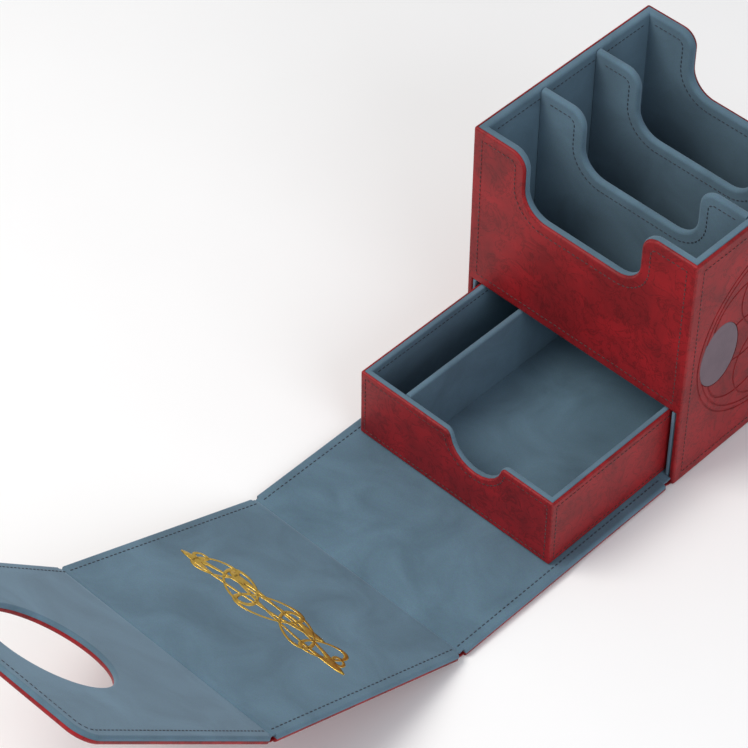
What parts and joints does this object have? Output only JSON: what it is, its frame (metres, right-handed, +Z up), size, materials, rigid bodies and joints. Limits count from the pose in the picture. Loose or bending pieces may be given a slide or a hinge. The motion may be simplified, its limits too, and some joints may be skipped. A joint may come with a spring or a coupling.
{
  "type": "card deck box",
  "caption": "Leatherette card deck box with a divided open tray, a pull-out drawer under it and a folding flap with a round window.",
  "frame": {"origin": "centre of the case's underside", "axes": "+Z up; the drawer and the flap open towards -Y; +X is the right side seen from the drawer's front"},
  "size_m": [0.102, 0.3732, 0.1126],
  "materials": {
    "red_leatherette": "marbled suede-look leatherette",
    "grey_microfibre": "napped microfibre",
    "greyboard": "raw greyboard",
    "inlay_leather": "smooth satin leatherette",
    "magnet_steel": "nickel plated"
  },
  "bodies": {
    "case": {"base_cover": "red_leatherette", "base_board": "greyboard", "left_wall_cover": "red_leatherette", "left_inlay_front": "inlay_leather", "left_inlay_rear": "inlay_leather", "left_wall_board": "greyboard", "tray_lining_left": "grey_microfibre", "bay_lining_left": "grey_microfibre", "right_wall_cover": "red_leatherette", "right_inlay_front": "inlay_leather", "right_inlay_rear": "inlay_leather", "right_wall_board": "greyboard", "tray_lining_right": "grey_microfibre", "bay_lining_right": "grey_microfibre", "front_wall_cover": "red_leatherette", "front_wall_board": "greyboard", "rear_wall_cover": "red_leatherette", "rear_wall_board": "greyboard", "case_magnet_left": "magnet_steel", "case_magnet_right": "magnet_steel", "tray_lining_front": "grey_microfibre", "tray_lining_rear": "grey_microfibre", "bay_lining_ceiling": "grey_microfibre", "tray_floor_board": "greyboard", "tray_lining_floor": "grey_microfibre", "bay_lining_floor": "grey_microfibre", "bay_lining_rear": "grey_microfibre", "divider_front": "grey_microfibre", "divider_rear": "grey_microfibre", "fold_strip_front": "red_leatherette"},
    "drawer": {"drawer_floor_cover": "red_leatherette", "drawer_floor_board": "greyboard", "drawer_front_cover": "red_leatherette", "drawer_front_board": "greyboard", "drawer_lining_front": "grey_microfibre", "drawer_back_cover": "red_leatherette", "drawer_back_board": "greyboard", "drawer_lining_back": "grey_microfibre", "drawer_left_cover": "red_leatherette", "drawer_left_board": "greyboard", "drawer_lining_left": "grey_microfibre", "drawer_right_cover": "red_leatherette", "drawer_right_board": "greyboard", "drawer_lining_right": "grey_microfibre", "drawer_lining_floor": "grey_microfibre", "drawer_divider": "grey_microfibre"},
    "flap_front": {"flap_front_cover": "red_leatherette", "flap_front_board": "greyboard", "flap_front_lining": "grey_microfibre", "fold_strip_top": "red_leatherette"},
    "flap_top": {"flap_top_cover": "red_leatherette", "flap_top_board": "greyboard", "flap_top_lining": "grey_microfibre", "fold_strip_back": "red_leatherette"},
    "flap_back": {"flap_back_cover": "red_leatherette", "flap_back_board": "greyboard", "flap_back_lining": "grey_microfibre", "flap_back_magnet_left": "magnet_steel", "flap_back_magnet_right": "magnet_steel"}
  },
  "joints": [
    {"name": "drawer_slide", "type": "slide", "parent": "case", "child": "drawer", "axis": [0, -1, 0], "range_m": [-0.0618, 0.018]},
    {"name": "front_fold", "type": "hinge", "parent": "case", "child": "flap_front", "pos_m": [0, -0.04915, 0.0016], "axis": [-1, 0, 0], "range_deg": [-90, 0]},
    {"name": "top_fold", "type": "hinge", "parent": "flap_front", "child": "flap_top", "pos_m": [0, -0.15895, 0.0016], "axis": [-1, 0, 0], "range_deg": [-22.9, 67.1]},
    {"name": "back_fold", "type": "hinge", "parent": "flap_top", "child": "flap_back", "pos_m": [0, -0.2495, 0.03985], "axis": [-1, 0, 0], "range_deg": [-20.6, 69.4]}
  ]
}
